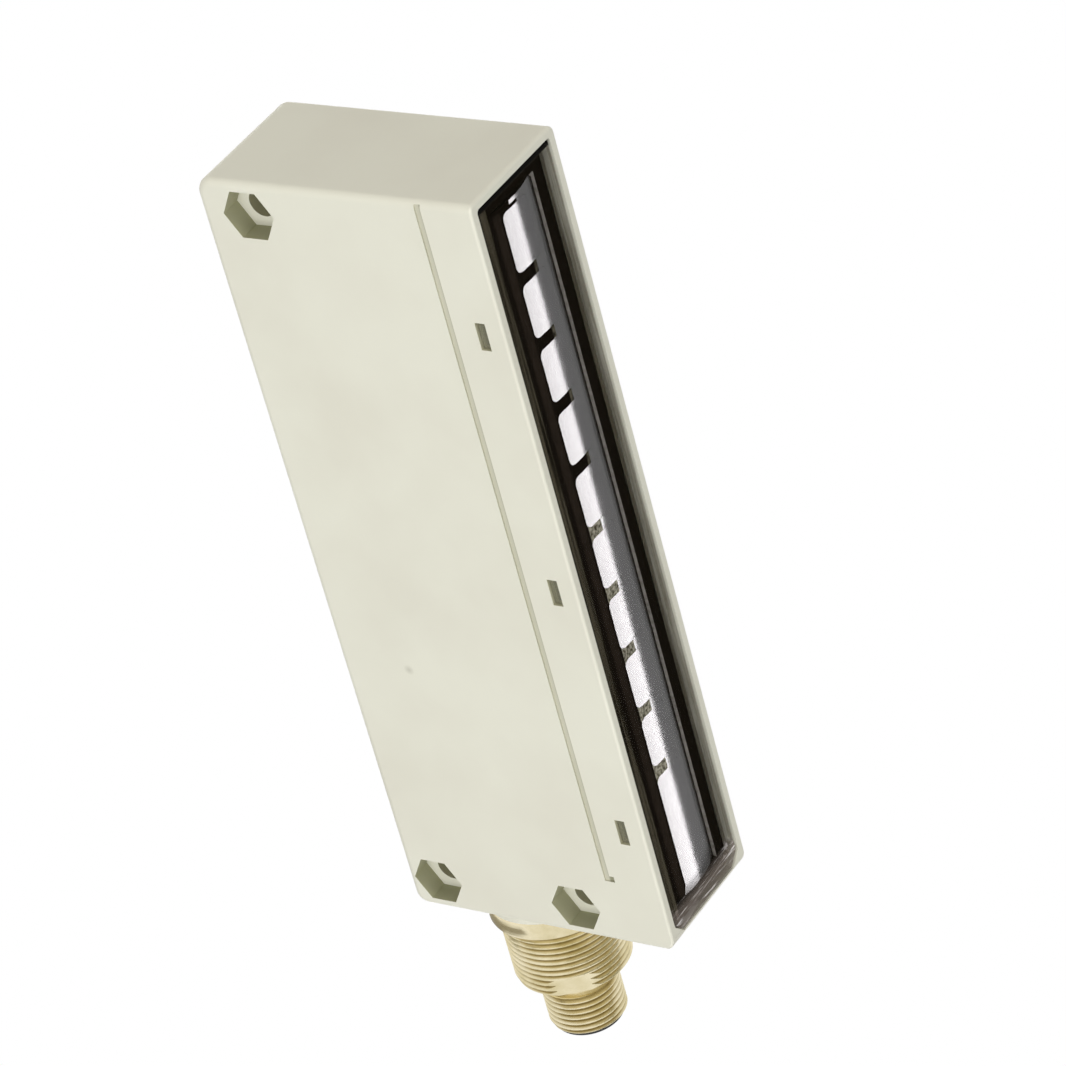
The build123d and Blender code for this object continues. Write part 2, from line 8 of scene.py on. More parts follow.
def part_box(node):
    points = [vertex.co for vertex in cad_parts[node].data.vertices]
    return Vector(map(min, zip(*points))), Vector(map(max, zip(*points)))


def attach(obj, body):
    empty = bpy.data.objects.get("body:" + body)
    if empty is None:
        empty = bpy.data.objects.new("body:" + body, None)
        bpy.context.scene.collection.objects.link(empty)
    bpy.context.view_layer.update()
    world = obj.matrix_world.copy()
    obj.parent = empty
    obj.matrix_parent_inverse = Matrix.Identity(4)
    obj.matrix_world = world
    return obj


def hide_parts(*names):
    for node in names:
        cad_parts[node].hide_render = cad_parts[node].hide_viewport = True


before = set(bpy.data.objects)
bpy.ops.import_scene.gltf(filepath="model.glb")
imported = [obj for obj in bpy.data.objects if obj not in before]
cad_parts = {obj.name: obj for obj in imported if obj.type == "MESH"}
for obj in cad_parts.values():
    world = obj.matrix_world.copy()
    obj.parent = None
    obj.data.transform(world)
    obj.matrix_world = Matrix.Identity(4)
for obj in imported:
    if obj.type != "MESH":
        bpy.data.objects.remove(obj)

scene = bpy.context.scene
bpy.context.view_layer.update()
print("frame loaded:", len(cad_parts), "pieces of the solid model")


# Small tools

def toMetres(*values):
    return tuple(value / 1000 for value in values)


def toLinear(hexColour):
    shares = [int(hexColour[start:start + 2], 16) / 255 for start in (1, 3, 5)]
    return tuple(s / 12.92 if s <= 0.04045 else ((s + 0.055) / 1.055) ** 2.4 for s in shares) + (1.0,)


def addNode(tree, kind, inputs=None, **settings):
    node = tree.nodes.new(kind)
    for name, value in settings.items():
        setattr(node, name, value)
    for name, value in (inputs or {}).items():
        if isinstance(value, bpy.types.Node):
            value = value.outputs[0]
        if isinstance(value, bpy.types.NodeSocket):
            tree.links.new(value, node.inputs[name])
        else:
            node.inputs[name].default_value = value
    return node


def startMaterial(name):
    material = bpy.data.materials.new(name)
    material.use_nodes = True
    material.node_tree.nodes.clear()
    return material, material.node_tree


def finishMaterial(tree, surface):
    addNode(tree, "ShaderNodeOutputMaterial", {"Surface": surface})


def showPiece(name, mesh, material, node):
    piece = bpy.data.objects.new(name, mesh)
    scene.collection.objects.link(piece)
    mesh.materials.clear()
    mesh.materials.append(material)
    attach(piece, "root")
    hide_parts(node)
    return piece


def addSheet(name, corners, material):
    # A flat sheet with four corners, for the floor and the cards round the sensor
    mesh = bpy.data.meshes.new(name)
    mesh.from_pydata(corners, [], [(0, 1, 2, 3)])
    mesh.materials.append(material)
    sheet = bpy.data.objects.new(name, mesh)
    scene.collection.objects.link(sheet)
    return sheet


# Camera, at the photograph's place and angle
photoView = {
    "place": (-448.78, -389.98, 437.66),    # mm
    "aim": (6.0, -9.51, 62.7),
    "roll": -15.718,                        # degrees
    "lens": 169.93, "sensor": 36,           # mm
    "near": 0.05, "far": 20,                # metres
}


def placeCamera(values):
    place, aim = Vector(toMetres(*values["place"])), Vector(toMetres(*values["aim"]))
    forward = (aim - place).normalized()
    side = forward.cross(Vector((0, 0, 1))).normalized()
    top = side.cross(forward)
    roll = radians(values["roll"])
    right = side * cos(roll) + top * sin(roll)
    up = top * cos(roll) - side * sin(roll)
    lens = bpy.data.cameras.new("photoCamera")
    lens.lens, lens.sensor_width = values["lens"], values["sensor"]
    lens.clip_start, lens.clip_end = values["near"], values["far"]
    camera = bpy.data.objects.new("photoCamera", lens)
    camera.matrix_world = Matrix.Translation(place) @ Matrix((right, up, -forward)).transposed().to_4x4()
    scene.collection.objects.link(camera)
    scene.camera = camera


placeCamera(photoView)
scene.view_settings.view_transform = "Standard"
print("camera placed")


# Floor, world and lamps
studio = {
    "floorDrop": 900.0,                     # mm under the neck's flange
    "floorSize": 9000.0,
    "floorColour": "#E6E6E6",
    "worldLevel": 0.2,
    "lamps": {                              # place in mm, side in mm, power in watts
        "sideLamp": ((-1500, -150, 120), 1100, 15.0),
        "topLamp": ((0, 0, 1500), 900, 8.2),
        "frontLamp": ((-350, -1500, 150), 900, 9.0),
        "rearLamp": ((1100, 1050, 60), 900, 10.5),
    },
    "lampAim": (0, -10, 60),
    "topTint": (1.0, 0.955, 0.89),
    "stripLevel": 6.0,
    "stripTint": (1.0, 0.965, 0.98),
    "stripTurns": (-1.2, 14.0),             # degrees: a lens face turned so far mirrors an edge of the lamp
    "lensFront": -25.4,                     # mm along Y
    "stripAway": 680,
    "stripHeight": 420,
    "stripMiddle": -375,                    # mm from the neck's flange
    "neckCards": {                          # degrees as above, and the light that each card gives
        "rimCard": ((-40.0, -25.0), (0.35, 0.29, 0.2)),
        "rightCard": ((-25.0, 24.0), (0.5, 0.45, 0.35)),
        "leftCard": ((84.0, 112.0), (0.34, 0.32, 0.26)),
        "edgeCard": ((112.0, 138.0), (0.36, 0.34, 0.28)),
    },
    "cardAway": 300,
    "cardHeight": 130,
    "cardMiddle": -212,
}


def addLamp(name, place, aim, size, level, height=None):
    light = bpy.data.lights.new(name, "AREA")
    light.shape = "RECTANGLE"
    light.size, light.size_y = size / 1000, (height or size) / 1000
    light.energy = level
    lamp = bpy.data.objects.new(name, light)
    lamp.location = toMetres(*place)
    lamp.rotation_euler = (Vector(aim) - Vector(place)).to_track_quat("-Z", "Y").to_euler()
    lamp.visible_camera = False
    scene.collection.objects.link(lamp)
    return lamp


def whiteForViewers(tree, shaded, whiteKind):
    # Camera, mirror and see-through rays meet white, and all others the lit surface
    rays = addNode(tree, "ShaderNodeLightPath").outputs
    either = addNode(tree, "ShaderNodeMath", {0: rays["Is Camera Ray"], 1: rays["Is Glossy Ray"]},
                     operation="MAXIMUM")
    seen = addNode(tree, "ShaderNodeMath", {0: either, 1: rays["Is Transmission Ray"]}, operation="MAXIMUM")
    white = addNode(tree, whiteKind, {"Color": (1, 1, 1, 1), "Strength": 1.0})
    return addNode(tree, "ShaderNodeMixShader", {0: seen, 1: shaded, 2: white})


def buildStudio(values):
    world = bpy.data.worlds.new("studioWorld")
    world.use_nodes = True
    tree = world.node_tree
    tree.nodes.clear()
    plain = addNode(tree, "ShaderNodeBackground", {"Color": (1, 1, 1, 1), "Strength": values["worldLevel"]})
    around = whiteForViewers(tree, plain, "ShaderNodeBackground")
    addNode(tree, "ShaderNodeOutputWorld", {"Surface": around})
    scene.world = world

    material, tree = startMaterial("matt painted floor")
    matt = addNode(tree, "ShaderNodeBsdfDiffuse", {"Color": toLinear(values["floorColour"])})
    finishMaterial(tree, whiteForViewers(tree, matt, "ShaderNodeEmission"))
    half, drop = values["floorSize"] / 2000, -values["floorDrop"] / 1000
    corners = [(-half, -half, drop), (half, -half, drop), (half, half, drop), (-half, half, drop)]
    floor = addSheet("floor", corners, material)

    for name, (place, size, level) in values["lamps"].items():
        lamp = addLamp(name, place, values["lampAim"], size, level)
        lamp.visible_glossy = False             # metal and gloss mirror the white surroundings instead
        if name == "topLamp":
            lamp.data.color = values["topTint"]


buildStudio(studio)
print("studio lit")


# Materials. All sizes in their values are in mm, and a Mix node's inputs 6 and 7 are its two colours

reliefDepth = 0.00002                       # metres, for every fine grain

mouldedGrain = {
    "colour": "#E7E6D6", "shade": "#E2E0D0", "grain": 0.45, "cloud": 22.0, "roughness": 0.5,
    "smudge": "#B9B7A4", "smudgePlace": (-10.6, 5.25, 48.45), "smudgeRadius": 0.9, "smudgeLevel": 0.6,
}
# The groove's, pockets' and bores' darker tones are painted shade
grooveShade = {
    "colour": "#CFCDB9", "shade": "#C8C6B1", "grain": 0.45, "cloud": 22.0, "roughness": 0.55,
    "shadow": "#97967C", "shadowFrom": -19.4, "shadowTo": -19.75,
}
pocketShade = {"colour": "#B0AF90", "shade": "#A6A585", "grain": 0.45, "cloud": 6.0, "roughness": 0.6}
boreShade = {"colour": "#CFCCB0", "shade": "#C2BFA2", "grain": 0.45, "cloud": 6.0, "roughness": 0.6}


def mouldedHousing(name, values):
    # Glass-filled ABS from a spark-eroded mould: an even satin skin with a fine dimpled grain
    material, tree = startMaterial(name)
    place = addNode(tree, "ShaderNodeTexCoord").outputs["Object"]
    cloud = addNode(tree, "ShaderNodeTexNoise", {
        "Vector": place, "Scale": 1000 / values["cloud"], "Detail": 3.0})
    tone = addNode(tree, "ShaderNodeValToRGB", {"Fac": cloud})
    shade, light = tone.color_ramp.elements
    shade.position, shade.color = 0.35, toLinear(values["shade"])
    light.position, light.color = 0.6, toLinear(values["colour"])
    # The real grain is about 0.1 mm wide, drawn coarser so that it still shows
    grain = addNode(tree, "ShaderNodeTexNoise", {
        "Vector": place, "Scale": 1000 / values["grain"], "Detail": 2.0})
    relief = addNode(tree, "ShaderNodeBump", {"Strength": 0.25, "Distance": reliefDepth, "Height": grain})
    gloss = addNode(tree, "ShaderNodeMapRange", {
        "Value": grain, "To Min": values["roughness"] - 0.05, "To Max": values["roughness"] + 0.07})
    if "smudge" in values:
        # One faint dirty spot on the side with the pockets
        away = addNode(tree, "ShaderNodeVectorMath", {0: place, 1: toMetres(*values["smudgePlace"])},
                       operation="DISTANCE").outputs["Value"]
        spot = addNode(tree, "ShaderNodeMapRange", {
            "Value": away, "From Min": values["smudgeRadius"] / 1000, "From Max": 0.0,
            "To Max": values["smudgeLevel"]})
        tone = addNode(tree, "ShaderNodeMix", {"Factor": spot, 6: tone, 7: toLinear(values["smudge"])},
                       data_type="RGBA").outputs[2]
    if "shadow" in values:
        # Painted shadow along the groove's front edge, where the groove's wall shades its floor
        along = addNode(tree, "ShaderNodeSeparateXYZ", {0: place}).outputs["Y"]
        paintedShadow = addNode(tree, "ShaderNodeMapRange", {
            "Value": along, "From Min": values["shadowFrom"] / 1000, "From Max": values["shadowTo"] / 1000})
        tone = addNode(tree, "ShaderNodeMix", {"Factor": paintedShadow, 6: tone, 7: toLinear(values["shadow"])},
                       data_type="RGBA").outputs[2]
    finishMaterial(tree, addNode(tree, "ShaderNodeBsdfPrincipled", {
        "Base Color": tone, "Roughness": gloss, "IOR": 1.52, "Normal": relief}))
    return material


brassFinish = {
    # the root colour is painted shade in the threads' roots
    "colour": "#EDE2C0", "dull": "#D8CBA0", "root": "#94824E", "rootShadeShare": 0.85, "roughness": 0.2,
    "patch": 3.846, "toolMark": 0.754,
    "threads": ((8.82, 8.43, -11.75, -0.1), (5.9, 5.5, -21.5, -14.75)),     # crest, root, lower and upper end
    "flatDistance": 8.0, "flatSlack": 0.04, "flatAngle": 32.7, "flatTop": -8.75,
}


def bandScale(spacing):
    # A wave texture of scale 1 repeats every pi / 10 metres
    return pi / 10 / (spacing / 1000)


def turnedBrass(values):
    # Free-cutting brass, turned and left bare: pale yellow, with fine tool rings and slightly dulled patches
    material, tree = startMaterial("turned brass")
    place = addNode(tree, "ShaderNodeTexCoord").outputs["Object"]
    patch = addNode(tree, "ShaderNodeTexNoise", {
        "Vector": place, "Scale": 1000 / values["patch"], "Detail": 4.0})
    tone = addNode(tree, "ShaderNodeValToRGB", {"Fac": patch})
    dull, bright = tone.color_ramp.elements
    dull.position, dull.color = 0.3, toLinear(values["dull"])
    bright.position, bright.color = 0.62, toLinear(values["colour"])

    # Painted shade darkens the roots of the threads, but not the two wrench flats
    axes = addNode(tree, "ShaderNodeSeparateXYZ", {0: place}).outputs
    level = addNode(tree, "ShaderNodeCombineXYZ", {"X": axes["X"], "Y": axes["Y"]})
    radius = addNode(tree, "ShaderNodeVectorMath", {0: level}, operation="LENGTH").outputs["Value"]
    rootShade = 0.0
    for crest, root, low, high in values["threads"]:
        depth = addNode(tree, "ShaderNodeMapRange", {
            "Value": radius, "From Min": crest / 1000, "From Max": root / 1000,
            "To Max": values["rootShadeShare"]})
        above = addNode(tree, "ShaderNodeMath", {0: axes["Z"], 1: low / 1000}, operation="GREATER_THAN")
        below = addNode(tree, "ShaderNodeMath", {0: axes["Z"], 1: high / 1000}, operation="LESS_THAN")
        within = addNode(tree, "ShaderNodeMath", {0: above, 1: below}, operation="MULTIPLY")
        here = addNode(tree, "ShaderNodeMath", {0: within, 1: depth}, operation="MULTIPLY")
        rootShade = addNode(tree, "ShaderNodeMath", {0: rootShade, 1: here}, operation="MAXIMUM")
    angle = radians(values["flatAngle"])
    along = addNode(tree, "ShaderNodeVectorMath", {0: level, 1: (cos(angle), sin(angle), 0.0)},
                    operation="DOT_PRODUCT").outputs["Value"]
    apart = addNode(tree, "ShaderNodeMath", {0: along}, operation="ABSOLUTE")
    nearFlat = addNode(tree, "ShaderNodeMath", {
        0: apart, 1: values["flatDistance"] / 1000, 2: values["flatSlack"] / 1000}, operation="COMPARE")
    lower = addNode(tree, "ShaderNodeMath", {0: axes["Z"], 1: values["flatTop"] / 1000},
                    operation="LESS_THAN")
    onFlat = addNode(tree, "ShaderNodeMath", {0: nearFlat, 1: lower}, operation="MULTIPLY")
    clean = addNode(tree, "ShaderNodeMath", {0: 1.0, 1: onFlat}, operation="SUBTRACT")
    rootShade = addNode(tree, "ShaderNodeMath", {0: rootShade, 1: clean}, operation="MULTIPLY")
    tone = addNode(tree, "ShaderNodeMix", {"Factor": rootShade, 6: tone, 7: toLinear(values["root"])},
                   data_type="RGBA").outputs[2]

    # The real tool marks are about 0.1 mm apart, drawn coarser so that they still show
    rings = addNode(tree, "ShaderNodeTexWave", {
        "Vector": place, "Scale": bandScale(values["toolMark"]), "Distortion": 0.4},
        wave_type="BANDS", bands_direction="Z")
    relief = addNode(tree, "ShaderNodeBump", {"Strength": 0.2, "Distance": reliefDepth, "Height": rings})
    gloss = addNode(tree, "ShaderNodeMapRange", {
        "Value": patch, "To Min": values["roughness"] + 0.08, "To Max": values["roughness"] - 0.04})
    finishMaterial(tree, addNode(tree, "ShaderNodeBsdfPrincipled", {
        "Base Color": tone, "Metallic": 1.0, "Roughness": gloss, "Normal": relief}))
    return material


clearCap = {
    "clear": 0.03, "streak": 0.62, "edge": 0.985, "foot": 0.46, "tab": 0.5,     # how much each zone hides
    "streakFrom": 7.3, "streakTo": 8.9, "streakSoft": 0.3, "streakBeyond": 0.3,
    "shadeTop": 126.1, "shadeSoft": 0.15, "footTop": 9.5, "footSoft": 1.0, "tabFrom": 9.2, "tabSoft": 0.1,
    "flowAndStreaks": (0.5263, 1.1111, 20.0),         # drawn out along the window's height
    "glintLines": (6.667, 1.1111, 0.41667), "glintLinesTurn": 25.783,
    # the dark tone is painted shade along the top edge, and the glint colour paints highlights on the foot
    "tint": "#5B5545", "smoke": "#8A7F75", "paintedGlint": "#FFFAF8", "tabTint": "#A3A189", "dark": "#0B0A08",
    "roughness": 0.03,
    "specular": 0.01,                       # the photographed window hardly mirrors anything
}


def mouldedAcrylic(values):
    # Clear moulded acrylic: invisible over the black front. Where the eye looks along the rim instead of
    # through the plate, it has painted dark streaks for the rim's refraction, painted shade along the top
    # edge and painted glints on a smoky foot
    material, tree = startMaterial("clear acrylic")
    place = addNode(tree, "ShaderNodeTexCoord").outputs["Object"]
    axes = addNode(tree, "ShaderNodeSeparateXYZ", {0: place}).outputs
    fromMiddle = addNode(tree, "ShaderNodeMath", {0: axes["X"]}, operation="ABSOLUTE")

    # Painted dark streaks along both long sides, in a band with soft edges
    rimIn = addNode(tree, "ShaderNodeMapRange", {
        "Value": fromMiddle, "From Min": values["streakFrom"] / 1000,
        "From Max": (values["streakFrom"] + values["streakSoft"]) / 1000})
    rimOut = addNode(tree, "ShaderNodeMapRange", {
        "Value": fromMiddle, "From Min": (values["streakTo"] - values["streakSoft"]) / 1000,
        "From Max": values["streakTo"] / 1000, "To Min": 1.0, "To Max": values["streakBeyond"]})
    rim = addNode(tree, "ShaderNodeMath", {0: rimIn, 1: rimOut}, operation="MULTIPLY")
    drawn = addNode(tree, "ShaderNodeMapping", {
        "Vector": place, "Scale": [1000 / size for size in values["flowAndStreaks"]]})
    flowAndStreaks = addNode(tree, "ShaderNodeTexNoise", {"Vector": drawn, "Scale": 1.0, "Detail": 3.0})
    streak = addNode(tree, "ShaderNodeMapRange", {"Value": flowAndStreaks, "From Min": 0.35, "From Max": 0.6})
    streaked = addNode(tree, "ShaderNodeMath", {0: rim, 1: streak}, operation="MULTIPLY")
    hidden = addNode(tree, "ShaderNodeMath", {0: streaked, 1: values["streak"], 2: values["clear"]},
                     operation="MULTIPLY_ADD")

    # Painted shade along the top edge, painted glints in slanting lines over the foot, and the latch tabs
    top = addNode(tree, "ShaderNodeMapRange", {
        "Value": axes["Z"], "From Min": (values["shadeTop"] - values["shadeSoft"]) / 1000,
        "From Max": values["shadeTop"] / 1000, "To Max": values["edge"]})
    foot = addNode(tree, "ShaderNodeMapRange", {
        "Value": axes["Z"], "From Min": (values["footTop"] - values["footSoft"]) / 1000,
        "From Max": values["footTop"] / 1000, "To Min": values["foot"], "To Max": 0.0})
    glintLinesPlace = addNode(tree, "ShaderNodeMapping", {
        "Vector": place, "Rotation": (0.0, radians(values["glintLinesTurn"]), 0.0),
        "Scale": [1000 / size for size in values["glintLines"]]})
    glintLines = addNode(tree, "ShaderNodeTexNoise", {"Vector": glintLinesPlace, "Scale": 1.0, "Detail": 3.0})
    paintedGlint = addNode(tree, "ShaderNodeMapRange", {"Value": glintLines, "From Min": 0.57, "From Max": 0.64})
    denser = addNode(tree, "ShaderNodeMath", {0: paintedGlint, 1: 0.8, 2: 0.8}, operation="MULTIPLY_ADD")
    footed = addNode(tree, "ShaderNodeMath", {0: foot, 1: denser}, operation="MULTIPLY")
    tab = addNode(tree, "ShaderNodeMapRange", {
        "Value": fromMiddle, "From Min": (values["tabFrom"] - values["tabSoft"]) / 1000,
        "From Max": values["tabFrom"] / 1000, "To Max": values["tab"]})
    ends = addNode(tree, "ShaderNodeMath", {0: top, 1: footed}, operation="MAXIMUM")
    solid = addNode(tree, "ShaderNodeMath", {0: ends, 1: tab}, operation="MAXIMUM")
    alpha = addNode(tree, "ShaderNodeMath", {0: hidden, 1: solid}, operation="MAXIMUM")

    # Each zone has its own tint; the top's dark tone is painted shade and the foot's light lines are painted
    # glints
    smoky = addNode(tree, "ShaderNodeMix", {
        "Factor": paintedGlint, 6: toLinear(values["smoke"]), 7: toLinear(values["paintedGlint"])}, data_type="RGBA")
    lower = addNode(tree, "ShaderNodeMath", {0: foot, 1: 0.01}, operation="GREATER_THAN")
    onTab = addNode(tree, "ShaderNodeMath", {0: tab, 1: 0.3}, operation="GREATER_THAN")
    sides = addNode(tree, "ShaderNodeMix", {
        "Factor": onTab, 6: toLinear(values["tint"]), 7: toLinear(values["tabTint"])}, data_type="RGBA")
    tinted = addNode(tree, "ShaderNodeMix", {"Factor": lower, 6: sides.outputs[2], 7: smoky.outputs[2]},
                     data_type="RGBA")
    tone = addNode(tree, "ShaderNodeMix", {"Factor": top, 6: tinted.outputs[2], 7: toLinear(values["dark"])},
                   data_type="RGBA")
    relief = addNode(tree, "ShaderNodeBump", {"Strength": 0.05, "Distance": 0.0001, "Height": flowAndStreaks})
    finishMaterial(tree, addNode(tree, "ShaderNodeBsdfPrincipled", {
        "Base Color": tone.outputs[2], "Roughness": values["roughness"], "IOR": 1.49,
        "Specular IOR Level": values["specular"], "Alpha": alpha, "Normal": relief}))
    return material


lensTint = {"colour": "#09080B", "cloud": "#141217", "cloudSize": 1.6, "roughness": 0.15, "ior": 1.54}


def tintedLens(values):
    # Polycarbonate dyed to pass infrared only: almost black, polished, with a trace of dust in the gloss
    material, tree = startMaterial("infrared polycarbonate")
    place = addNode(tree, "ShaderNodeTexCoord").outputs["Object"]
    cloud = addNode(tree, "ShaderNodeTexNoise", {
        "Vector": place, "Scale": 1000 / values["cloudSize"], "Detail": 4.0})
    tone = addNode(tree, "ShaderNodeValToRGB", {"Fac": cloud})
    dark, light = tone.color_ramp.elements
    dark.color, light.color = toLinear(values["colour"]), toLinear(values["cloud"])
    gloss = addNode(tree, "ShaderNodeMapRange", {
        "Value": cloud, "To Min": values["roughness"] - 0.02, "To Max": values["roughness"] + 0.03})
    finishMaterial(tree, addNode(tree, "ShaderNodeBsdfPrincipled", {
        "Base Color": tone, "Roughness": gloss, "IOR": values["ior"]}))
    return material


def plainMoulding(name, colour, shade, roughness, grain, metallic=0.0, ior=1.5, coat=0.0, specular=0.5):
    # Small moulded, drawn or coated parts: two near tones in soft patches and a fine relief
    material, tree = startMaterial(name)
    place = addNode(tree, "ShaderNodeTexCoord").outputs["Object"]
    patch = addNode(tree, "ShaderNodeTexNoise", {"Vector": place, "Scale": 1000 / grain, "Detail": 3.0})
    tone = addNode(tree, "ShaderNodeValToRGB", {"Fac": patch})
    dark, light = tone.color_ramp.elements
    dark.position, dark.color = 0.35, toLinear(shade)
    light.position, light.color = 0.65, toLinear(colour)
    relief = addNode(tree, "ShaderNodeBump", {"Strength": 0.15, "Distance": reliefDepth, "Height": patch})
    inputs = {"Base Color": tone, "Roughness": roughness, "Metallic": metallic, "Coat Weight": coat,
              "Normal": relief}
    if not metallic:
        inputs["IOR"], inputs["Specular IOR Level"] = ior, specular
    finishMaterial(tree, addNode(tree, "ShaderNodeBsdfPrincipled", inputs))
    return material


flankShade = {
    "colour": "#0F0A08", "light": "#28211C", "patch": 0.7, "strength": 1.8, "roughness": 0.9,
    "riseFrom": -4.7, "riseTo": -4.3, "fallFrom": -3.4, "fallTo": -3.1,     # across the window
}


def shadedFlank(values):
    # Matt moulded nylon: a dead black, with a painted reflection in one soft, patchy band across its flank
    material, tree = startMaterial("matt brown-black nylon, painted reflection band")
    place = addNode(tree, "ShaderNodeTexCoord").outputs["Object"]
    across = addNode(tree, "ShaderNodeSeparateXYZ", {0: place}).outputs["X"]
    rise = addNode(tree, "ShaderNodeMapRange", {
        "Value": across, "From Min": values["riseFrom"] / 1000, "From Max": values["riseTo"] / 1000})
    fall = addNode(tree, "ShaderNodeMapRange", {
        "Value": across, "From Min": values["fallTo"] / 1000, "From Max": values["fallFrom"] / 1000})
    band = addNode(tree, "ShaderNodeMath", {0: rise, 1: fall}, operation="MULTIPLY")
    patch = addNode(tree, "ShaderNodeTexNoise", {
        "Vector": place, "Scale": 1000 / values["patch"], "Detail": 3.0})
    broken = addNode(tree, "ShaderNodeMath", {0: band, 1: patch}, operation="MULTIPLY")
    strong = addNode(tree, "ShaderNodeMath", {0: broken, 1: values["strength"]}, operation="MULTIPLY")
    tone = addNode(tree, "ShaderNodeMix", {
        "Factor": strong, 6: toLinear(values["colour"]), 7: toLinear(values["light"])}, data_type="RGBA")
    finishMaterial(tree, addNode(tree, "ShaderNodeBsdfPrincipled", {
        "Base Color": tone.outputs[2], "Roughness": values["roughness"], "Specular IOR Level": 0.0}))
    return material


def wovenBoard(name, colour, shade, thread):
    # Glass-cloth laminate under green solder resist: the weave shows as a faint square grid of light and dark
    material, tree = startMaterial(name)
    place = addNode(tree, "ShaderNodeTexCoord").outputs["Object"]
    across, along = [addNode(tree, "ShaderNodeTexWave", {"Vector": place, "Scale": bandScale(thread)},
                             wave_type="BANDS", bands_direction=direction) for direction in ("Y", "Z")]
    cloth = addNode(tree, "ShaderNodeMath", {0: across.outputs["Fac"], 1: along.outputs["Fac"]},
                    operation="MULTIPLY")
    tone = addNode(tree, "ShaderNodeValToRGB", {"Fac": cloth})
    dark, light = tone.color_ramp.elements
    dark.color, light.color = toLinear(shade), toLinear(colour)
    relief = addNode(tree, "ShaderNodeBump", {"Strength": 0.1, "Distance": reliefDepth, "Height": cloth})
    finishMaterial(tree, addNode(tree, "ShaderNodeBsdfPrincipled", {
        "Base Color": tone, "Roughness": 0.35, "Coat Weight": 0.3, "Normal": relief}))
    return material


housingPlastic = mouldedHousing("moulded ABS", mouldedGrain)
# The recesses are a little rougher, and their darker tones are painted shade, darker than the light alone
# would make them
grooveShadedPlastic = mouldedHousing("moulded ABS, painted shade in the groove", grooveShade)
pocketShadedPlastic = mouldedHousing("moulded ABS, painted shade in the pockets", pocketShade)
boreShadedPlastic = mouldedHousing("moulded ABS, painted shade in the bores", boreShade)
brass = turnedBrass(brassFinish)
windowPlastic = mouldedAcrylic(clearCap)
lensPlastic = tintedLens(lensTint)
# Moulded nylon, black throughout: satin where it is new, and dead matt in the mask
blackPlastic = plainMoulding("black nylon", "#0D0C0C", "#060606", 0.28, 0.6)
maskPlastic = plainMoulding("matt black nylon", "#0F0A07", "#080503", 0.9, 0.6, specular=0.0)
# The mask's arch came from a polished part of the mould, and mirrors as sharply as the lenses
archPlastic = plainMoulding("polished black polycarbonate", "#1C1A19", "#0A0909", 0.15, 1.6, ior=1.54)
# Scraped and worn faces show grey over the black, without any gloss, and a painted light line runs along the
# arch's far wall
roughPlastic = plainMoulding("scraped black nylon", "#6B6757", "#14110E", 0.9, 0.45, specular=0.0)
wornPlastic = plainMoulding("scratched black nylon", "#BDB9A6", "#423E31", 0.9, 0.45, specular=0.0)
litLinePlastic = plainMoulding("painted light line on black nylon", "#A29D97", "#827D78", 0.9, 0.6, specular=0.0)
flankPlastic = shadedFlank(flankShade)
# Moulded rubber is a soft black with next to no gloss
blackRubber = plainMoulding("nitrile rubber", "#100F0F", "#0A0909", 0.6, 0.5, specular=0.03)
# The real cloth's threads are about 0.5 mm apart, drawn coarser so that they still show
greenBoard = wovenBoard("glass epoxy laminate", "#1F5A38", "#174A2C", 3.14)
# Plated and drawn metal gleam softly, moulded epoxy is dull or clear, and extruded PVC has a mild gloss
goldPlate = plainMoulding("gold-plated bronze", "#E2BB66", "#CFA550", 0.2, 0.4, metallic=1.0)
chipEpoxy = plainMoulding("chip epoxy", "#202022", "#18181A", 0.5, 0.3)
emitterEpoxy = plainMoulding("emitter epoxy", "#D9D6CF", "#BDB8AF", 0.15, 0.8, coat=0.4)
canAluminium = plainMoulding("drawn aluminium", "#C9CACC", "#B4B5B8", 0.3, 0.4, metallic=1.0)
wireBrown = plainMoulding("brown PVC", "#6A3B1E", "#5A3018", 0.4, 0.7)
wireWhite = plainMoulding("white PVC", "#E9E9E6", "#DADAD6", 0.4, 0.7)
wireBlue = plainMoulding("blue PVC", "#1F4FA0", "#194287", 0.4, 0.7)
wireBlack = plainMoulding("black PVC", "#161616", "#0F0F0F", 0.4, 0.7)
print("materials made")


# Copies of solid pieces, with their sharp edges rounded a little
copying = {
    "mergeWithin": 0.001,                   # mm
    "flatWithin": 0.4,                      # degrees: facets nearer than this in direction are one flat
    "sharpFrom": 32,                        # degrees between two faces
    "roundingSteps": 2,
    "lensWall": 1.25,                       # mm that the lenses' side walls reach back
}


def fillOpenings(shape, by):
    # The lenses' side walls go out nearly to the edges of the mask's openings
    front = min(vert.co.y for vert in shape.verts)
    moves = []
    for vert in shape.verts:
        walls = [face.normal for face in vert.link_faces if abs(face.normal.y) < 0.01]
        if walls and vert.co.y < front + copying["lensWall"] / 1000:
            push = sum(walls, Vector()).normalized()
            moves.append((vert, push * by / 1000 / max(push.dot(wall) for wall in walls)))
    for vert, move in moves:
        vert.co += move


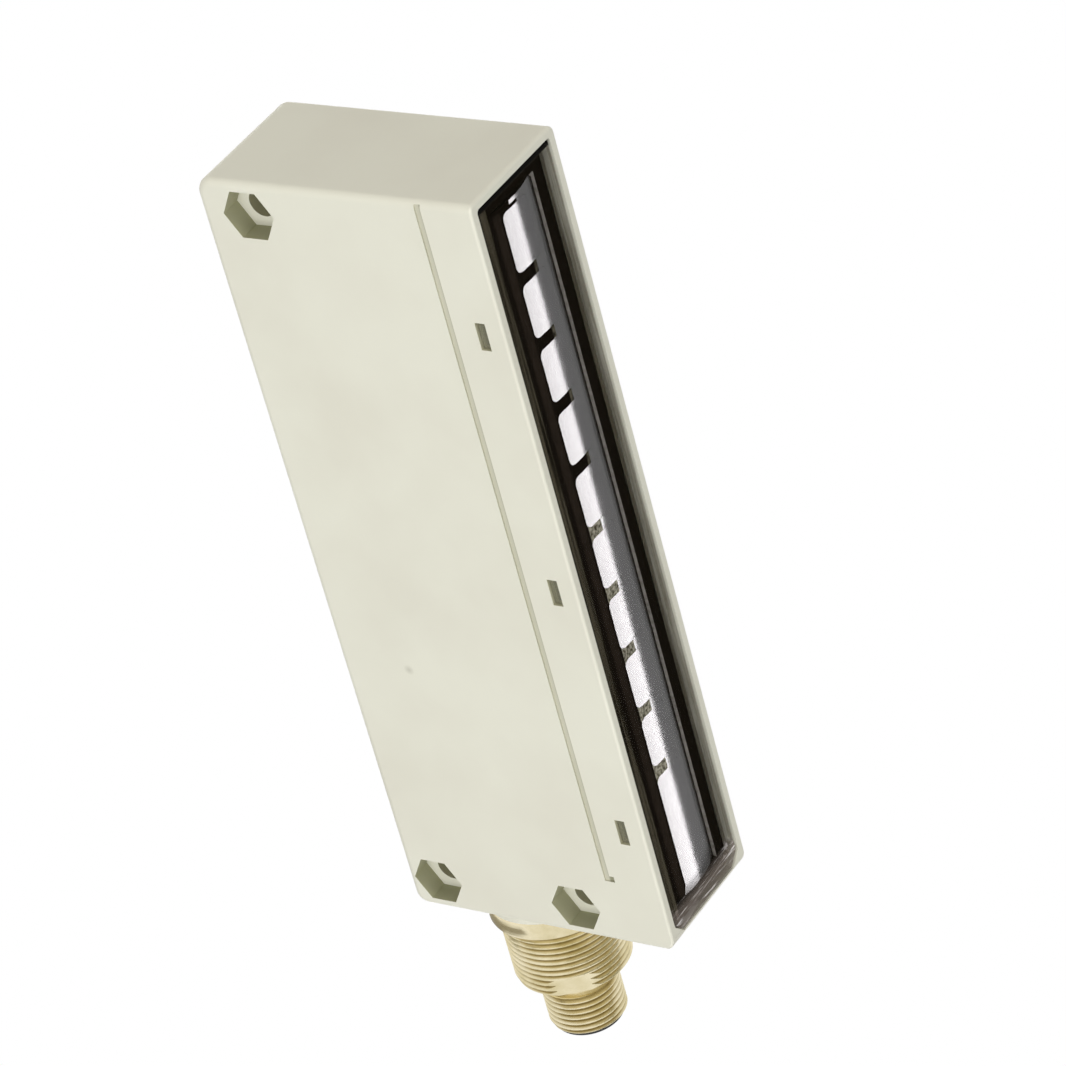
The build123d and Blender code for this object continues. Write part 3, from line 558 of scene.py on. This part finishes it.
def roundedCopy(node, width, cuts=(), swell=0.0):
    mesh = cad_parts[node].data.copy()
    shape = bmesh.new()
    shape.from_mesh(mesh)
    bmesh.ops.remove_doubles(shape, verts=shape.verts, dist=copying["mergeWithin"] / 1000)
    bmesh.ops.dissolve_limit(shape, angle_limit=radians(copying["flatWithin"]), verts=shape.verts,
                             edges=shape.edges)
    for axis, place in cuts:
        across = Vector([float(axis == number) for number in range(3)])
        bmesh.ops.bisect_plane(shape, geom=shape.verts[:] + shape.edges[:] + shape.faces[:],
                               plane_co=across * place / 1000, plane_no=across)
    bmesh.ops.recalc_face_normals(shape, faces=shape.faces)
    if swell:
        fillOpenings(shape, swell)
    shape.to_mesh(mesh)
    shape.free()
    holder = bpy.data.objects.new("roundingHolder", mesh)
    scene.collection.objects.link(holder)
    rounding = holder.modifiers.new("rounding", "BEVEL")
    rounding.width, rounding.segments = width / 1000, copying["roundingSteps"]
    rounding.limit_method, rounding.angle_limit = "ANGLE", radians(copying["sharpFrom"])
    for polygon in mesh.polygons:
        polygon.use_smooth = True
    # Large flats keep their own direction, so that they mirror evenly right up to the rounded edges
    flats = holder.modifiers.new("flats", "WEIGHTED_NORMAL")
    flats.mode, flats.weight, flats.thresh = "FACE_AREA", 100, 0.001
    evaluated = holder.evaluated_get(bpy.context.evaluated_depsgraph_get())
    rounded = bpy.data.meshes.new_from_object(evaluated)
    bpy.data.objects.remove(holder)
    return rounded


recesses = {                                # mm
    "holes": ((11.7, 9.0), (-12.2, 9.0), (9.15, 123.25)),     # along Y and Z
    "boreReach": 2.2, "pocketReach": 4.3, "pocketFloor": -7.35,
    "slots": ((-24.25, 25.0), (-24.25, 66.5), (-24.25, 108.0)), "slotWidth": 1.7, "slotHeight": 4.4,
    "groovePlace": -19.3, "grooveWidth": 1.1, "grooveFrom": 10.3, "grooveTo": 10.58,
    "skin": 10.5,
}


# Painted shade: the groove, the pockets round the holes, the bores and the slots get the darker materials
def paintShadeInRecesses(mesh, values, groove, pocket, bore):
    for material in (groove, pocket, bore):
        mesh.materials.append(material)
    inGroove, inPocket, inBore = 1, 2, 3    # the material slots
    for face in mesh.polygons:
        x, y, z = (share * 1000 for share in face.center)
        sideways = abs(face.normal.x) > 0.3     # such as the pockets' floors and the housing's sides
        nearest = min(((y - holeY) ** 2 + (z - holeZ) ** 2) ** 0.5 for holeY, holeZ in values["holes"])
        inSlot = any(abs(y - slotY) < values["slotWidth"] / 2 and abs(z - slotZ) < values["slotHeight"] / 2
                     for slotY, slotZ in values["slots"])
        onGroove = abs(y - values["groovePlace"]) < values["grooveWidth"] / 2
        if nearest < values["boreReach"] and not sideways:
            face.material_index = inBore
        elif nearest < values["pocketReach"] and not sideways and -values["skin"] < x < values["pocketFloor"]:
            face.material_index = inPocket
        elif inSlot and abs(x) < values["skin"]:
            face.material_index = inBore
        elif onGroove and values["grooveFrom"] < abs(x) < values["grooveTo"]:
            face.material_index = inGroove


shellPiece = showPiece("housingShell", roundedCopy("housing", 0.12), housingPlastic,
                       "housing")
paintShadeInRecesses(shellPiece.data, recesses, grooveShadedPlastic, pocketShadedPlastic, boreShadedPlastic)
print("housing made")


# Window: clear cap, gasket, black mask and the lens bar
showPiece("windowCap", roundedCopy("front_window", 0.08), windowPlastic, "front_window")
arch = {                                    # mm: widths and edges are across the window, the rest up it
    "halfWidth": 5.7, "rise": 1.0, "bottom": 8.5, "top": 123.5, "highestOpening": 122.2,
    "sideSlack": 0.05, "slack": 0.1,
    "mostLean": 0.12,                       # the far side mirrors as if it leaned no more, as a sine
    "valleyEdge": 5.93,                     # and a painted light line lies beyond the arch, up to this place
    "ribs": 9, "ribPitch": 10.25, "lowestRib": 30.05, "ribHeight": 3.2, "ribEnd": 2.9,
    "dullRibs": 4, "dullEdge": 0.6,         # the upper ribs are matt up to this place
    "roughEdge": 1.3,                       # and scraped up to this one
    "wornEdge": -0.1,                       # the others are worn up to this one and polished beyond it
    "glintFloor": 122.9, "glintEdge": -1.1,     # a corner of the top catches the light above and beyond these
}


def onArch(mesh, face, values, front):
    corners = [mesh.vertices[vertex].co * 1000 for vertex in face.vertices]
    inside = all(abs(corner.x) < values["halfWidth"] + values["sideSlack"]
                 and values["bottom"] - values["slack"] < corner.z < values["top"] + values["slack"]
                 for corner in corners)
    depth = (values["rise"] + values["slack"]) / 1000
    return inside and face.center.y < front + depth and face.normal.y < -0.9


def roundTheArch(mesh, values, front):
    # The flat strips that stand for the arch mirror as one smooth curve
    radius = (values["halfWidth"] ** 2 + values["rise"] ** 2) / values["rise"] / 2000
    normals = [tuple(corner.vector) for corner in mesh.corner_normals]
    for face in mesh.polygons:
        if onArch(mesh, face, values, front) and abs(face.normal.z) < 0.03:
            for corner in face.loop_indices:
                lean = min(mesh.vertices[mesh.loops[corner].vertex_index].co.x / radius, values["mostLean"])
                normals[corner] = (lean, -(1 - lean ** 2) ** 0.5, 0.0)
    mesh.normals_split_custom_set(normals)


def finishArch(mesh, values, front, *materials):
    for material in materials:
        mesh.materials.append(material)
    matt, polished, worn, scraped, flank, litLine = range(6)      # the material slots, the first already there
    for face in mesh.polygons:
        x, z = face.center.x * 1000, face.center.z * 1000
        # Painted light: a thin light line on the wall beyond the arch's far edge
        if values["halfWidth"] < x < values["valleyEdge"]:
            face.material_index = litLine
        if not onArch(mesh, face, values, front):
            continue
        number = round((z - values["lowestRib"]) / values["ribPitch"])
        offRib = abs(z - values["lowestRib"] - number * values["ribPitch"])
        within = offRib < values["ribHeight"] / 2 and abs(x) < values["ribEnd"]
        onRib = within and 0 <= number < values["ribs"]
        if z > values["highestOpening"]:
            lit = z > values["glintFloor"] and x > values["glintEdge"]
            face.material_index = polished if lit or x > values["dullEdge"] else matt
        elif onRib and number >= values["ribs"] - values["dullRibs"]:
            beyond = scraped if x < values["roughEdge"] else polished
            face.material_index = matt if x < values["dullEdge"] else beyond
        elif onRib:
            face.material_index = worn if x < values["wornEdge"] else polished
        else:
            face.material_index = flank if x < -values["ribEnd"] else polished


lensPiece = showPiece("lensRow", roundedCopy("lens_bar", 0.02, swell=0.08), lensPlastic,
                      "lens_bar")
maskCuts = [(0, arch[edge]) for edge in ("dullEdge", "wornEdge", "roughEdge", "glintEdge")]
maskCuts.append((2, arch["glintFloor"]))
maskPiece = showPiece("maskFrame", roundedCopy("aperture_mask", 0.02, cuts=maskCuts), maskPlastic,
                      "aperture_mask")
for piece, node in ((lensPiece, "lens_bar"), (maskPiece, "aperture_mask")):
    roundTheArch(piece.data, arch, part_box(node)[0][1])
finishArch(maskPiece.data, arch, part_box("aperture_mask")[0][1],
           archPlastic, wornPlastic, roughPlastic, flankPlastic, litLinePlastic)
showPiece("gasketFrame", roundedCopy("window_gasket", 0.08), blackRubber, "window_gasket")


def mirroredEdges(turns, away, middle):
    # Where the camera's level line of sight goes after a face, turned so far from the window's, mirrors it
    view = middle - Vector(photoView["place"])
    view.z = 0
    view.normalize()
    edges = []
    for turn in turns:
        face = Vector((-sin(radians(turn)), -cos(radians(turn)), 0))
        edges.append(middle + (view - 2 * view.dot(face) * face) * away)
    return edges


def placeNeckCards(values):
    # Grey cards that the neck's two sides mirror, so that its round shape shows
    up = Vector((0, 0, values["cardHeight"] / 2))
    middle = Vector((0, 0, values["cardMiddle"]))
    for name, (turns, light) in values["neckCards"].items():
        material, tree = startMaterial(name)
        finishMaterial(tree, addNode(tree, "ShaderNodeEmission", {"Color": light + (1,), "Strength": 1.0}))
        a, b = mirroredEdges(turns, values["cardAway"], middle)
        card = addSheet(name, [tuple(corner / 1000) for corner in (a - up, b - up, b + up, a + up)], material)
        card.visible_camera = card.visible_diffuse = card.visible_shadow = False


def lightLensRow(values, pieces):
    # A strip lamp that only the arch mirrors, as the long highlight down the lenses
    middle = Vector((0, values["lensFront"], values["stripMiddle"]))
    a, b = mirroredEdges(values["stripTurns"], values["stripAway"], middle)
    lamp = addLamp("stripLamp", (a + b) / 2, middle, (b - a).length, values["stripLevel"],
                   height=values["stripHeight"])
    lamp.visible_diffuse = False
    lamp.data.color = values["stripTint"]
    group = bpy.data.collections.new("lensHighlight")
    for piece in pieces:
        group.objects.link(piece)
    lamp.light_linking.receiver_collection = group


lightLensRow(studio, [lensPiece, maskPiece])
placeNeckCards(studio)
print("window made")


# Neck: turned core, and the two threads that Geometry Nodes cut
neckSizes = {                               # mm and degrees
    "flangeRadius": 10.1, "flangeHeight": 3.2, "flangeChamfer": 0.3,
    "largeCrest": 8.97, "largeDepth": 0.58, "largeLength": 11.8, "largeChamfer": 0.6,
    "largeInner": 6.47, "largeCore": 7.8, "largeSteps": (193, 290),     # steps round and down
    "smallCrest": 5.97, "smallDepth": 0.58, "smallStart": 14.7, "smallEnd": 21.5, "smallChamfer": 0.4,
    "smallInner": 4.95, "smallWall": 0.4, "smallSteps": (145, 166),
    "pitch": 1.0, "flatAcross": 16.0, "flatHeight": 3.0, "flatAngle": 32.7,
    "plainRadius": 5.5, "plainChamfer": 0.2, "spigotRadius": 5.0, "spigotTop": 9.8, "leadBore": 3.6,
    "carrierBore": 4.85, "carrierTop": 6.2, "sealInner": 7.0, "sealOuter": 8.35, "sealDepth": 1.2,
    "coreSteps": 128, "sharpFrom": 50,
}


def buildThreadTree():
    tree = bpy.data.node_groups.new("cutThread", "GeometryNodeTree")
    sockets = tree.interface
    sockets.new_socket("Geometry", in_out="OUTPUT", socket_type="NodeSocketGeometry")
    sockets.new_socket("Geometry", in_out="INPUT", socket_type="NodeSocketGeometry")
    for name in ("Crest Radius", "Thread Depth", "Pitch", "Length", "Top", "End Chamfer", "Core Radius",
                 "Flat Distance", "Flat Angle", "Flat Height"):
        sockets.new_socket(name, in_out="INPUT", socket_type="NodeSocketFloat")
    for name in ("Steps Round", "Steps Down"):
        sockets.new_socket(name, in_out="INPUT", socket_type="NodeSocketInt")
    sockets.new_socket("Material", in_out="INPUT", socket_type="NodeSocketMaterial")
    size = addNode(tree, "NodeGroupInput").outputs
    doMath = "ShaderNodeMath"

    # The sheet lies flat at first: its X is the angle round the neck, its Y the place along the thread
    grid = addNode(tree, "GeometryNodeMeshGrid", {
        "Size X": 2 * pi, "Size Y": 1.0, "Vertices X": size["Steps Round"], "Vertices Y": size["Steps Down"]})
    where = addNode(tree, "ShaderNodeSeparateXYZ", {0: addNode(tree, "GeometryNodeInputPosition")})
    angle, along = where.outputs["X"], where.outputs["Y"]

    # The outermost row at each end is drawn in to the core, and closes the thread's end face.
    # The rows beside it are spread a little, so that they reach the end as well
    stretched = addNode(tree, doMath, {0: along, 1: 1.03}, operation="MULTIPLY")
    share = addNode(tree, "ShaderNodeClamp", {"Value": stretched, "Min": -0.5, "Max": 0.5})
    fromTop = addNode(tree, doMath, {0: 0.5, 1: share}, operation="SUBTRACT")
    drop = addNode(tree, doMath, {0: fromTop, 1: size["Length"]}, operation="MULTIPLY")
    height = addNode(tree, doMath, {0: size["Top"], 1: drop}, operation="SUBTRACT")
    fromMiddle = addNode(tree, doMath, {0: along}, operation="ABSOLUTE")
    isEnd = addNode(tree, doMath, {0: fromMiddle, 1: 0.4999}, operation="GREATER_THAN")

    # The ridge runs round and up as a right-hand screw, its crest and root flat for 0.12 of the pitch
    turns = addNode(tree, doMath, {0: angle, 1: 2 * pi}, operation="DIVIDE")
    rise = addNode(tree, doMath, {0: height, 1: size["Pitch"]}, operation="DIVIDE")
    phase = addNode(tree, doMath, {0: rise, 1: turns}, operation="SUBTRACT")
    fromCrest = addNode(tree, doMath, {0: phase, 1: 0.5}, operation="PINGPONG")
    cut = addNode(tree, "ShaderNodeMapRange", {
        "Value": fromCrest, "From Min": 0.06, "From Max": 0.44, "To Max": size["Thread Depth"]})
    ridge = addNode(tree, doMath, {0: size["Crest Radius"], 1: cut}, operation="SUBTRACT")

    # Chamfer at the lower end, then the two wrench flats
    toEnd = addNode(tree, doMath, {0: size["Length"], 1: drop}, operation="SUBTRACT")
    endRadius = addNode(tree, doMath, {0: size["Crest Radius"], 1: size["End Chamfer"]}, operation="SUBTRACT")
    cone = addNode(tree, doMath, {0: endRadius, 1: toEnd}, operation="ADD")
    chamfered = addNode(tree, doMath, {0: ridge, 1: cone}, operation="MINIMUM")
    turned = addNode(tree, doMath, {0: angle, 1: size["Flat Angle"]}, operation="SUBTRACT")
    cosine = addNode(tree, doMath, {0: turned}, operation="COSINE")
    slant = addNode(tree, doMath, {0: cosine}, operation="ABSOLUTE")
    safeSlant = addNode(tree, doMath, {0: slant, 1: 0.05}, operation="MAXIMUM")
    reach = addNode(tree, doMath, {0: size["Flat Distance"], 1: safeSlant}, operation="DIVIDE")
    above = addNode(tree, doMath, {0: toEnd, 1: size["Flat Height"]}, operation="GREATER_THAN")
    reachHere = addNode(tree, doMath, {0: above, 1: 1.0, 2: reach}, operation="MULTIPLY_ADD")
    flattened = addNode(tree, doMath, {0: chamfered, 1: reachHere}, operation="MINIMUM")
    radius = addNode(tree, "GeometryNodeSwitch", {
        "Switch": isEnd, "False": flattened, "True": size["Core Radius"]}, input_type="FLOAT")

    # Rolled up, closed and coated
    sideShare = addNode(tree, doMath, {0: angle}, operation="COSINE")
    deepShare = addNode(tree, doMath, {0: angle}, operation="SINE")
    across = addNode(tree, doMath, {0: radius, 1: sideShare}, operation="MULTIPLY")
    deep = addNode(tree, doMath, {0: radius, 1: deepShare}, operation="MULTIPLY")
    place = addNode(tree, "ShaderNodeCombineXYZ", {"X": across, "Y": deep, "Z": height})
    placed = addNode(tree, "GeometryNodeSetPosition", {"Geometry": grid, "Position": place})
    closed = addNode(tree, "GeometryNodeMergeByDistance", {"Geometry": placed, "Distance": 0.000004})
    real = addNode(tree, "GeometryNodeRealizeInstances", {"Geometry": closed})
    coated = addNode(tree, "GeometryNodeSetMaterial", {"Geometry": real, "Material": size["Material"]})
    addNode(tree, "NodeGroupOutput", {0: coated})
    return tree


threadTree = buildThreadTree()


def cutThread(name, inputs):
    holder = bpy.data.objects.new(name, bpy.data.meshes.new(name))
    scene.collection.objects.link(holder)
    cutter = holder.modifiers.new("thread", "NODES")
    cutter.node_group = threadTree
    for item in threadTree.interface.items_tree:
        if item.in_out == "INPUT" and item.name in inputs:
            cutter[item.identifier] = inputs[item.name]
    evaluated = holder.evaluated_get(bpy.context.evaluated_depsgraph_get())
    mesh = bpy.data.meshes.new_from_object(evaluated)
    bpy.data.objects.remove(holder)
    return mesh


def turnProfile(shape, profile, steps):
    # A closed outline of (radius, height) points in mm, turned about the neck's axis
    rings = []
    for radius, height in profile:
        rings.append([shape.verts.new((radius / 1000 * cos(2 * pi * step / steps),
                                       radius / 1000 * sin(2 * pi * step / steps), height / 1000))
                      for step in range(steps)])
    for number, ring in enumerate(rings):
        following = rings[(number + 1) % len(rings)]
        for step in range(steps):
            after = (step + 1) % steps
            shape.faces.new((ring[step], ring[after], following[after], following[step]))


def buildNeck(mm):
    roundLarge, downLarge = mm["largeSteps"]
    large = cutThread("largeThread", {
        "Crest Radius": mm["largeCrest"] / 1000, "Thread Depth": mm["largeDepth"] / 1000,
        "Pitch": mm["pitch"] / 1000, "Length": mm["largeLength"] / 1000, "Top": 0.0,
        "End Chamfer": mm["largeChamfer"] / 1000, "Core Radius": mm["largeInner"] / 1000,
        "Flat Distance": mm["flatAcross"] / 2000, "Flat Angle": radians(mm["flatAngle"]),
        "Flat Height": mm["flatHeight"] / 1000,
        "Steps Round": roundLarge, "Steps Down": downLarge, "Material": brass})
    # The small thread has no flats: a flat one metre out cuts nothing
    roundSmall, downSmall = mm["smallSteps"]
    small = cutThread("smallThread", {
        "Crest Radius": mm["smallCrest"] / 1000, "Thread Depth": mm["smallDepth"] / 1000,
        "Pitch": mm["pitch"] / 1000, "Length": (mm["smallEnd"] - mm["smallStart"]) / 1000,
        "Top": -mm["smallStart"] / 1000, "End Chamfer": mm["smallChamfer"] / 1000,
        "Core Radius": mm["smallInner"] / 1000, "Flat Distance": 1.0, "Flat Angle": 0.0, "Flat Height": 0.0,
        "Steps Round": roundSmall, "Steps Down": downSmall, "Material": brass})

    flange, top, chamfer = mm["flangeRadius"], mm["flangeHeight"], mm["flangeChamfer"]
    eased = 0.3 * chamfer                   # the chamfer's middle stands out, which rounds it
    sealFloor, plainTop, plainEnd = top - mm["sealDepth"], -mm["largeLength"], -mm["smallStart"]
    bore, tube = mm["carrierBore"], mm["carrierBore"] + mm["smallWall"]
    # The core stays just inside both threads' sheets
    profile = [
        (mm["leadBore"], mm["spigotTop"]), (mm["spigotRadius"], mm["spigotTop"]), (mm["spigotRadius"], top),
        (mm["sealInner"], top), (mm["sealInner"], sealFloor),
        (mm["sealOuter"], sealFloor), (mm["sealOuter"], top),
        (flange - chamfer, top), (flange - eased, top - eased), (flange, top - chamfer),
        (flange, chamfer), (flange - eased, eased), (flange - chamfer, 0),
        (mm["largeCore"] + 0.4, 0), (mm["largeCore"], -0.3), (mm["largeCore"], plainTop + 0.02),
        (mm["plainRadius"] + mm["plainChamfer"], plainTop + 0.02),
        (mm["plainRadius"], plainTop - mm["plainChamfer"]),
        (mm["plainRadius"], plainEnd - 0.02), (tube, plainEnd - mm["smallWall"]),
        (tube, -mm["smallEnd"] + 0.05), (bore, -mm["smallEnd"] + 0.05),
        (bore, -mm["carrierTop"]), (mm["leadBore"], -mm["carrierTop"])]
    shape = bmesh.new()
    turnProfile(shape, profile, mm["coreSteps"])
    shape.from_mesh(large)
    shape.from_mesh(small)
    bmesh.ops.recalc_face_normals(shape, faces=shape.faces)
    mesh = bpy.data.meshes.new("threadedNeck")
    shape.to_mesh(mesh)
    shape.free()
    for polygon in mesh.polygons:
        polygon.use_smooth = True
    mesh.set_sharp_from_angle(angle=radians(mm["sharpFrom"]))
    showPiece("threadedNeck", mesh, brass, "connector_body")


buildNeck(neckSizes)
showPiece("contactCarrier", roundedCopy("contact_carrier", 0.1), blackPlastic,
          "contact_carrier")
print("neck made")


# Finishes for the pieces that stay as they are in the solid model
innerFinishes = {
    "optics_holder": blackPlastic, "neck_seal": blackRubber, "carrier_seal": blackRubber,
    "optics_board": greenBoard, "main_board": greenBoard, "board_link": goldPlate,
    "processor": chipEpoxy, "driver_chip_1": chipEpoxy, "driver_chip_2": chipEpoxy, "regulator": chipEpoxy,
    "capacitor_1": canAluminium, "capacitor_2": canAluminium,
    "wire_1": wireBrown, "wire_2": wireWhite, "wire_3": wireBlue, "wire_4": wireBlack,
}
for number in range(1, 11):
    innerFinishes[f"emitter_{number}"] = emitterEpoxy
for number in range(1, 5):
    innerFinishes[f"contact_pin_{number}"] = goldPlate
for name, material in innerFinishes.items():
    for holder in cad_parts[name].material_slots:
        holder.material = material
print("inner pieces finished:", len(innerFinishes))
